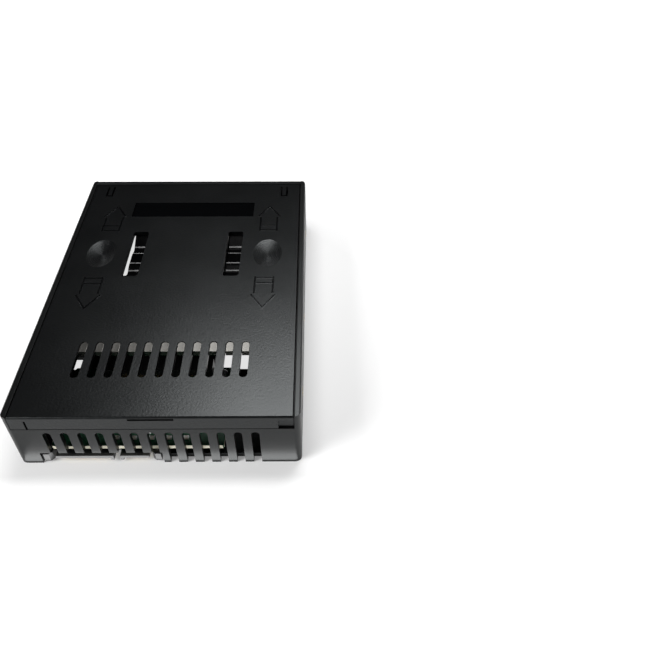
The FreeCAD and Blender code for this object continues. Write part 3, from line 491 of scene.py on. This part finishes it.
# %% [markdown]
# ## Arrows beside the thumb dishes
#
# Two arrows on each side of the lid show which way it slides. In the mould
# they are fine engraved lines, so on the lid they stand up as hairline ridges,
# with the smooth finish of cut steel. Curves with a bevel could draw them; a
# low arch carried along each stroke gives clean mitred corners and a closed
# mesh at once. Each corner's sideways direction is the mitre of its two edges.

# %% Strokes on a level surface
UP = np.array([0.0, 0.0, 1.0])
STROKE_TIP = 0.05


def half_round(width, height, sink, steps=7):
    """Closed profile: a low arch on top, and two corners sunk below. The arch
    falls with the square of the way from its middle."""
    turn = np.linspace(0.0, np.pi, steps)
    arch = np.column_stack([np.cos(turn) * width / 2, np.sin(turn) ** 2 * height])
    return np.vstack([arch, [[-width / 2, -sink], [width / 2, -sink]]])


def way_of(start, end):
    """Unit direction from start to end."""
    return (end - start) / np.linalg.norm(end - start, axis=-1, keepdims=True)


def stroke(points, z, profile, way=1):
    """Ridge along a line of (x, y) points at height z, standing up or, with a
    way of -1, down. The sideways direction at a corner is the sum of its
    edges' normals over one plus their product. A point is added close to each
    end, so that the end's shading stays there."""
    points = np.asarray(points, float)
    first, last = [way_of(points[i], points[j]) * STROKE_TIP for i, j in ((0, 1), (-1, -2))]
    points = np.vstack([points[:1], points[:1] + first, points[1:-1], points[-1:] + last, points[-1:]])
    edge = way_of(points[:-1], points[1:])
    normal = np.column_stack([edge[:, 1], -edge[:, 0]])
    before = np.vstack([normal[:1], normal])
    after = np.vstack([normal, normal[-1:]])
    mitre = (before + after) / (1.0 + np.sum(before * after, axis=1, keepdims=True))
    path = np.column_stack([points, np.full(len(points), z)])
    across = np.column_stack([mitre, np.zeros(len(points))])
    return carried(path, way * across, np.tile(way * UP, (len(points), 1)), profile)


# %% Arrow ridges
ARROW_X, DISH_Y = 34.8, 17.0
TIP_Y, WING_Y, WING_HALF = 35.1, 27.0, 4.9
SHAFT_HALF, SHAFT_FAR, SHAFT_NEAR = 3.7, 26.4, 15.8
BAR_PLACES = (16.6, 20.0)
ARROW_WIDTH, ARROW_HEIGHT, RIDGE_SINK = 0.8, 0.03, 0.05
ARROW_LINE = half_round(ARROW_WIDTH, ARROW_HEIGHT, RIDGE_SINK)
ARROW_STROKES = [[(-WING_HALF, WING_Y), (0.0, TIP_Y), (WING_HALF, WING_Y)]]
ARROW_STROKES += [[(x, SHAFT_FAR), (x, SHAFT_NEAR)] for x in (-SHAFT_HALF, SHAFT_HALF)]
ARROW_STROKES += [[(-SHAFT_HALF, y), (SHAFT_HALF, y)] for y in BAR_PLACES]


def arrow(x, y, way):
    """Strokes of one arrow that points along +Y or -Y from a dish's middle."""
    return [stroke(np.array(line) * way + [x, y], LID_TOP, ARROW_LINE) for line in ARROW_STROKES]


for side, name in ((-1, "slide_arrows_left"), (1, "slide_arrows_right")):
    strokes = arrow(side * ARROW_X, DISH_Y, 1) + arrow(side * ARROW_X, DISH_Y, -1)
    piece(name, strokes, "lid", cut_plastic)

# %% [markdown]
# ## Grip rings in the thumb dishes
#
# A thumb would slip in a smooth dish, so fine oval rings stand up in it. A
# bump could draw them, but they catch the light as real ridges. The dish is
# the lowest part of an upright ring surface, and the formula for its height
# gives both the path of each grip ring and the direction it stands up in: the
# surface's own normal.

# %% Grip rings
DISH_X = 35.3
DISH_WIDTH, DISH_LENGTH, DISH_DEPTH = 12.0, 19.0, 1.1
RING_COUNT, RING_FIRST, RING_MARGIN = 8, 0.6, 0.4
RING_WIDTH, RING_HEIGHT = 0.4, 0.06
RING_LINE = half_round(RING_WIDTH, RING_HEIGHT, RIDGE_SINK)
SLOPE_STEP = 0.01


def dish_height(x, y):
    """Height of the dish's surface: an arc across, swept along an arc."""
    across, along = [((d / 2) ** 2 + DISH_DEPTH ** 2) / (2 * DISH_DEPTH) for d in (DISH_WIDTH, DISH_LENGTH)]
    swept = along - across + np.sqrt(across ** 2 - x ** 2)
    return LID_TOP - DISH_DEPTH + along - np.sqrt(swept ** 2 - y ** 2)


def grip_ring(centre, share, steps=96):
    """Oval at a share of the dish's size, lying on the dish. Its normal is the
    slope of the dish's height, taken over a small step both ways."""
    turn = np.linspace(0.0, 2 * np.pi, steps, endpoint=False)
    x = np.cos(turn) * share * DISH_WIDTH / 2
    y = np.sin(turn) * share * DISH_LENGTH / 2
    path = np.column_stack([x, y, dish_height(x, y)])
    slope_x = (dish_height(x + SLOPE_STEP, y) - dish_height(x - SLOPE_STEP, y)) / (2 * SLOPE_STEP)
    slope_y = (dish_height(x, y + SLOPE_STEP) - dish_height(x, y - SLOPE_STEP)) / (2 * SLOPE_STEP)
    normal = np.column_stack([-slope_x, -slope_y, np.ones(steps)])
    normal /= np.linalg.norm(normal, axis=1, keepdims=True)
    along = np.roll(path, -1, axis=0) - np.roll(path, 1, axis=0)
    along /= np.linalg.norm(along, axis=1, keepdims=True)
    return carried(path + [centre, DISH_Y, 0], np.cross(along, normal), normal, RING_LINE, True)


ring_shares = (np.arange(RING_COUNT) + RING_FIRST) / (RING_COUNT + RING_MARGIN)
for side, name in ((-1, "grip_rings_left"), (1, "grip_rings_right")):
    rings = [grip_ring(side * DISH_X, share) for share in ring_shares]
    piece(name, rings, "lid", lid_plastic)

# %% [markdown]
# ## Pad fingers in the vents
#
# The strip behind the vents keeps its place by short fingers, pressed up into
# the far end of each vent, with a silvery cloth skin that follows the light as
# the lid does. A finger is a shallow profile carried along the vent. Its width
# shrinks as the round end does, which a box with a bevel would not do.

# %% Pad fingers
VENT_COUNT, VENT_PITCH, VENT_RADIUS = 11, 6.0, 1.5
VENT_FAR = box_mm("lid_pad")[0][1]
FINGER_LENGTH, FINGER_GAP, FINGER_BELOW_TOP = 4.9, 0.1, 0.3
FINGER_HOLLOW, FINGER_SINK = 0.02, 2.2
FINGER_RADIUS = VENT_RADIUS - FINGER_GAP
FINGER_SKIN = half_round(2 * FINGER_RADIUS, -FINGER_HOLLOW, FINGER_SINK)
FINGER_ROUND = np.radians(85.0)
pad_cloth = metal("pad_cloth", (0.11, 0.107, 0.1), (0.17, 0.166, 0.156), gloss=(0.31, 0.35), grain_mm=0.5)


def pad_finger(x, steps=13):
    """Profile along +Y: full width up to the round end, then the width falls
    as the cosine of the turn while the path goes on as its sine."""
    turn = np.linspace(0.0, FINGER_ROUND, steps)
    near = VENT_FAR - FINGER_LENGTH
    y = np.concatenate([[near, near + STROKE_TIP], VENT_FAR - VENT_RADIUS + FINGER_RADIUS * np.sin(turn)])
    share = np.concatenate([[1.0, 1.0], np.cos(turn)])
    path = np.column_stack([0 * y + x, y, 0 * y + LID_TOP - FINGER_BELOW_TOP])
    across = np.column_stack([share, 0 * y, 0 * y])
    return carried(path, across, np.tile(UP, (len(y), 1)), FINGER_SKIN)


vent_x = (np.arange(VENT_COUNT) - (VENT_COUNT - 1) / 2) * VENT_PITCH
piece("pad_fingers", [pad_finger(x) for x in vent_x], "lid", pad_cloth)

# %% [markdown]
# ## Board screws
#
# The three screws under the lid are small pan heads with a cross recess. The
# recess could be cut out with a second mesh. Here a turned profile gives
# shank and dome, and the recess is a formula on top of it, which keeps the
# grid whole: two crossing bars, each with soft walls, are pushed down into
# the dome.

# %% Screw sizes and places
HEAD_RADIUS, HEAD_RIM, HEAD_DOME = 2.2, 0.7, 0.9
SHANK_RADIUS = 1.15
LEFT_SCREW_BACK = 19.75
SCREW_LOW, SCREW_HIGH = box_mm("board_screws")
SCREW_PLACES = [
    (SCREW_LOW[0] + HEAD_RADIUS, SCREW_HIGH[1] - LEFT_SCREW_BACK - HEAD_RADIUS),
    (SCREW_HIGH[0] - HEAD_RADIUS, SCREW_LOW[1] + HEAD_RADIUS),
    (SCREW_HIGH[0] - HEAD_RADIUS, SCREW_HIGH[1] - HEAD_RADIUS),
]
print("screws at:", [(round(x, 2), round(y, 2)) for x, y in SCREW_PLACES])

# %% Screws with a cross recess
CROSS_REACH, CROSS_HALF, CROSS_DEPTH, CROSS_WALL = 1.35, 0.32, 0.75, 0.14
CROSS_TURNS = np.radians([20.0, 65.0, 38.0])
DOME_TOP = 0.985


def soft_step(value, width):
    """Zero below 0, one above width, and a smooth rise between them."""
    t = np.clip(value / width, 0.0, 1.0)
    return t * t * (3.0 - 2.0 * t)


def screw(x, y, angle, rings=30, steps=96):
    """Turned dome, rim and shank, with the cross pressed into the dome. The
    dome's grid stops a little short of a quarter turn, where a cap closes it."""
    tilt = np.linspace(DOME_TOP, 0.0, rings) * np.pi / 2
    radius = np.concatenate([np.cos(tilt) * HEAD_RADIUS, [HEAD_RADIUS, SHANK_RADIUS, SHANK_RADIUS]])
    seat = BOARD_HIGH[2]
    height = np.concatenate([seat + HEAD_RIM + np.sin(tilt) * HEAD_DOME, [seat, seat, SCREW_LOW[2]]])
    points, quads, caps = turned(radius, height, [0.0, 0.0, 0.0], steps)
    u = np.abs(points[:, 0] * np.cos(angle) + points[:, 1] * np.sin(angle))
    v = np.abs(points[:, 1] * np.cos(angle) - points[:, 0] * np.sin(angle))
    in_width = soft_step(CROSS_HALF - np.minimum(u, v), CROSS_WALL)
    in_reach = soft_step(CROSS_REACH - np.maximum(u, v), CROSS_WALL)
    on_dome = points[:, 2] > seat + HEAD_RIM
    points[:, 2] -= np.where(on_dome, CROSS_DEPTH * (in_width * in_reach), 0.0)
    return points + [x, y, 0.0], quads, caps


screws = [screw(x, y, turn) for (x, y), turn in zip(SCREW_PLACES, CROSS_TURNS)]
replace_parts(piece("cross_head_screws", screws, "tray", screw_steel), "board_screws")

# %% [markdown]
# ## Threads in the inserts
#
# Each brass insert is tapped for a 6-32 drive screw, at 32 turns to the inch.
# Blender's Screw modifier could turn a profile too; a triangle carried along a
# helix needs no clean-up. The path keeps to the bore's radius, the triangle's
# height points at the axis, and its width lies along the axis, so the ridge
# stands inwards from a plain bore.

# %% Thread along a helix
INCH, TURNS_PER_INCH = 25.4, 32
THREAD_PITCH = INCH / TURNS_PER_INCH
BORE_RADIUS, INSERT_LENGTH, THREAD_RUNOUT = 1.45, 5.5, 0.45
RIDGE_HALF, RIDGE_ROOT, RIDGE_CREST = 0.3, -0.06, 0.2
THREAD_RIDGE = np.array([[RIDGE_HALF, RIDGE_ROOT], [0.0, RIDGE_CREST], [-RIDGE_HALF, RIDGE_ROOT]])


def thread(mouth, inward, start, steps_per_turn=28):
    """Helix that runs from the mouth along inward; start and the direction
    square to it span the plane that it turns in."""
    inward, start = np.array(inward, float), np.array(start, float)
    steps = int(INSERT_LENGTH / THREAD_PITCH * steps_per_turn)
    depth = np.linspace(THREAD_RUNOUT, INSERT_LENGTH - THREAD_RUNOUT, steps)
    angle = (2 * np.pi * depth / THREAD_PITCH)[:, None]
    radial = np.cos(angle) * start + np.sin(angle) * np.cross(inward, start)
    path = np.array(mouth, float) + depth[:, None] * inward + BORE_RADIUS * radial
    return carried(path, np.tile(inward, (steps, 1)), -radial, THREAD_RIDGE)


print("thread pitch in mm:", round(THREAD_PITCH, 3))

# %% Insert threads
SIDE_LOW, SIDE_HIGH = box_mm("side_inserts_right")
FOOT_LOW, FOOT_HIGH = box_mm("bottom_inserts")
HALF_FLATS = (SIDE_HIGH[2] - SIDE_LOW[2]) / 2
HALF_CORNERS = HALF_FLATS / np.cos(np.pi / 6)
SIDE_MIDDLE_STEP = 41.61
side_first, side_last = SIDE_LOW[1] + HALF_CORNERS, SIDE_HIGH[1] - HALF_CORNERS
side_z = SIDE_LOW[2] + HALF_FLATS
foot_x = FOOT_HIGH[0] - HALF_FLATS
threads = []
for side in (-1, 1):
    for y in (side_first, side_first + SIDE_MIDDLE_STEP, side_last):
        threads.append(thread((side * SIDE_HIGH[0], y, side_z), (-side, 0, 0), UP))
    for y in (FOOT_LOW[1] + HALF_CORNERS, FOOT_HIGH[1] - HALF_CORNERS):
        threads.append(thread((side * foot_x, y, FOOT_LOW[2]), UP, (1, 0, 0)))
piece("insert_threads", threads, "tray", insert_brass)

# %% [markdown]
# ## Tracks, vias and solder
#
# Copper tracks under the solder mask join the two connectors: they leave the
# socket's feet, slant across the board, and go through a row of plated holes
# to the plug's feet underneath. A picture of a board could show them flat. As
# geometry a track is a very flat ridge along a bent line, a plated hole shows
# as a small tinned ring, and each foot ends in a bead of solder, which is half
# of a flattened ball. The first three contacts of the power row carry nothing,
# so they have beads and no tracks.

# %% Contacts and board faces
POWER_COUNT, DATA_COUNT, UNUSED_COUNT = 15, 7, 3
CONTACT_HALF = 0.4


def contact_row(connector):
    """Middles of a connector's power and data contacts along X."""
    rows = []
    for kind, count in (("power", POWER_COUNT), ("data", DATA_COUNT)):
        low, high = box_mm(f"{connector}_{kind}_pins")
        rows.append(np.linspace(low[0] + CONTACT_HALF, high[0] - CONTACT_HALF, count))
    return np.concatenate(rows)


socket_x = contact_row("drive_socket")
plug_x = contact_row("host_plug")
SOCKET_FEET = box_mm("drive_socket_power_pins")[0][1]
PLUG_FEET = box_mm("host_plug_power_pins")[1][1]
BOARD_FACES = (BOARD_HIGH[2], BOARD_LOW[2])
print("contacts:", len(socket_x), len(plug_x))

# %% Tracks and vias
TRACK_LINE = half_round(width=0.34, height=0.035, sink=0.02, steps=5)
VIA_LINE = half_round(width=0.22, height=0.05, sink=0.03, steps=5)
VIA_RADIUS, VIA_STEPS = 0.3, 20
SLANT_START, SLANT_END, VIA_Y = -43.0, -51.0, -53.0


def via(x, y, z, way):
    """Ring that lies round a hole, on top of or under the board."""
    turn = np.linspace(0.0, 2 * np.pi, VIA_STEPS, endpoint=False)
    radial = np.column_stack([np.cos(turn), np.sin(turn), 0 * turn])
    path = radial * VIA_RADIUS + [x, y, z]
    return carried(path, way * radial, np.tile(way * UP, (VIA_STEPS, 1)), VIA_LINE, True)


used = list(zip(socket_x, plug_x))[UNUSED_COUNT:]
tracks = [
    stroke([(a, SOCKET_FEET), (a, SLANT_START), (b, SLANT_END), (b, VIA_Y)], BOARD_FACES[0], TRACK_LINE)
    for a, b in used
]
tracks += [stroke([(b, VIA_Y), (b, PLUG_FEET)], BOARD_FACES[1], TRACK_LINE, -1) for _, b in used]
vias = [via(b, VIA_Y, z, way) for _, b in used for z, way in zip(BOARD_FACES, (1, -1))]
track_mask = speckled(
    "track_mask", (0.018, 0.13, 0.058), (0.026, 0.17, 0.078), size_mm=0.9, roughness=0.3, pit_mm=0.005,
)
piece("board_tracks", tracks, "tray", track_mask)
piece("board_vias", vias, "tray", tinned_metal)

# %% Solder beads
BEAD_RADIUS, BEAD_HEIGHT, BEAD_STRETCH, BEAD_STEPS = 0.5, 0.3, 1.2, 14
BEAD_TILT = np.radians([80.0, 62.0, 44.0, 26.0, 10.0, 0.0])


def bead(x, y, z, way):
    """Half of a flattened ball, on top of the board or hanging under it."""
    radius = BEAD_RADIUS * np.cos(BEAD_TILT)
    height = way * BEAD_HEIGHT * np.sin(BEAD_TILT)
    return turned(radius[::way], height[::way], [x, y, z], BEAD_STEPS, BEAD_STRETCH)


beads = [bead(x, SOCKET_FEET, BOARD_FACES[0], 1) for x in socket_x]
beads += [bead(x, PLUG_FEET, BOARD_FACES[1], -1) for x in plug_x]
piece("solder_beads", beads, "tray", tinned_metal)

# %% [markdown]
# ## Floor
#
# The product stands on a white table that is over-exposed, so it has no edge
# in the picture. More light on it would bleach the product too, so the table
# itself glows: more the further it lies from the product, and also in front of
# the comb. A panel under the tray glows too, which shows as white through the
# openings in the tray's floor. Between them the pale shadow stays.

# %% Table
TABLE_HALF = 3.0
TABLE_TONES = ((0.58, 0.58, 0.58), (0.62, 0.62, 0.62))
TABLE_DRIFT_MM, TABLE_ROUGHNESS = 300.0, 0.7
GLOW_WHITE = (1.0, 1.0, 1.0, 1.0)
GLOW, GLOW_REACH = (0.24, 0.9), (0.085, 0.24)
FRONT_GLOW, FRONT_REACH = 0.42, (-0.07, -0.084)
PANEL, PANEL_GLOW = ((-44.0, -64.0, -1.0), (44.0, 66.0, 1.0)), 0.75


def table_surface(half_size, steps=3):
    """Flat grid in the plane z = 0: x and y run over the same even steps."""
    line = np.linspace(-half_size, half_size, steps)
    x, y = np.meshgrid(line, line, indexing="ij")
    points = np.column_stack([x.ravel(), y.ravel(), np.zeros(x.size)])
    i, j = np.meshgrid(np.arange(steps - 1), np.arange(steps - 1), indexing="ij")
    first = (i * steps + j).ravel()
    return points, np.column_stack([first, first + steps, first + steps + 1, first + 1])


def table_finish():
    """White whose glow is the brightest of three: one that grows with the
    distance from the product, one on the panel under it and one in front.
    Slow noise keeps the white from being one flat tone."""
    material, tree, shader, where = new_finish("table_white")
    drift = noise_of(tree, where, TABLE_DRIFT_MM, SOFT_DETAIL)
    tree.links.new(blended(tree, drift, *TABLE_TONES), shader.inputs["Base Color"])
    away = tree.nodes.new("ShaderNodeVectorMath")
    away.operation = "LENGTH"
    tree.links.new(where, away.inputs[0])
    around = ranged(tree, away.outputs["Value"], *GLOW, *GLOW_REACH)
    panel = math_of(tree, "ShaderNodeMath", "MULTIPLY", inside_box(tree, where, *PANEL), PANEL_GLOW)
    front = ranged(tree, axes_of(tree, where)[1], 0.0, FRONT_GLOW, *FRONT_REACH)
    brightest = math_of(tree, "ShaderNodeMath", "MAXIMUM", around, panel)
    brightest = math_of(tree, "ShaderNodeMath", "MAXIMUM", brightest, front)
    tree.links.new(brightest, shader.inputs["Emission Strength"])
    shader.inputs["Emission Color"].default_value = GLOW_WHITE
    shader.inputs["Roughness"].default_value = TABLE_ROUGHNESS
    return material


table_points, table_faces = table_surface(TABLE_HALF)
table_mesh = bpy.data.meshes.new("table")
table_mesh.from_pydata(table_points.tolist(), [], table_faces.tolist())
table_mesh.materials.append(table_finish())
table = bpy.data.objects.new("table", table_mesh)
bpy.context.scene.collection.objects.link(table)
print("table faces:", len(table_faces))

# %% [markdown]
# ## Light
#
# A small soft box hangs close above the product, behind and to the right, and
# the lid's fine grain smears its image out: the near right corner shines and
# the far left one stays black. The place, size and brightness of that box were
# worked out from the tones along the lid. A wide, softer light from the left
# and front fills the comb wall and throws the pale shadow to the right. A
# narrow card lies on the table in front of the comb and lights it from below,
# as white paper there would. Lamps with shades could be modelled; area lights
# give the same image of a bright rectangle with less noise.

# %% Soft boxes
PRODUCT = (0.0, 0.0, 0.0)
KEY_PLACE, KEY_SIZE, KEY_WATTS = (0.054, 0.1, 0.3), (0.219, 0.194), 1.26
FILL_PLACE, FILL_SIZE, FILL_WATTS = (-0.72, -0.4, 0.55), (0.5, 0.5), 12.0
CARD_PLACE, CARD_SIZE, CARD_WATTS = (0.0, -0.0755, 0.0005), (0.1, 0.0035), 0.0055
ABOVE_CARD = (0.0, -0.0755, 0.1)


def soft_box(name, place, aim, size, watts):
    """Area light at a place, turned to face a point, all in metres."""
    data = bpy.data.lights.new(name, "AREA")
    data.shape = "RECTANGLE"
    data.size, data.size_y = size
    data.energy = watts
    light = bpy.data.objects.new(name, data)
    bpy.context.scene.collection.objects.link(light)
    back = np.array(place, float) - np.array(aim, float)
    back /= np.linalg.norm(back)
    right = np.cross([0.0, 1.0, 0.0], back)
    right /= np.linalg.norm(right)
    turn = np.eye(4)
    turn[:3, :3] = np.column_stack([right, np.cross(back, right), back])
    turn[:3, 3] = place
    light.matrix_world = Matrix(turn.tolist())
    light.visible_camera = False
    print(name, "watts:", watts)


soft_box("key_box", KEY_PLACE, PRODUCT, KEY_SIZE, KEY_WATTS)
soft_box("fill_box", FILL_PLACE, PRODUCT, FILL_SIZE, FILL_WATTS)
soft_box("front_card", CARD_PLACE, ABOVE_CARD, CARD_SIZE, CARD_WATTS)

# %% [markdown]
# ## Backdrop and ceiling
#
# Black plastic mirrors the room that it stands in. The far left of the lid is
# nearly black, so the room above the table is dark, and low down it is pale,
# as a paper backdrop is. A picture of a studio could surround the scene; two
# tones and the height at which they meet give all that shows here.

# %% Studio
BACKDROP_EDGE = np.sin(np.radians([8.0, 12.0]))
BACKDROP_TONE, CEILING_TONE = (0.5, 0.5, 0.5), (0.002, 0.002, 0.0022)


def studio():
    """World that is pale up to a low height all round and dark above it: the
    upward part of the direction picks the tone."""
    world = bpy.data.worlds.new("studio")
    world.use_nodes = True
    tree = world.node_tree
    where = tree.nodes.new("ShaderNodeTexCoord")
    upward = axes_of(tree, where.outputs["Generated"])[2]
    share = ranged(tree, upward, 0.0, 1.0, *BACKDROP_EDGE)
    tone = blended(tree, share, BACKDROP_TONE, CEILING_TONE)
    tree.links.new(tone, tree.nodes["Background"].inputs["Color"])
    return world


bpy.context.scene.world = studio()
print("world:", bpy.context.scene.world.name)
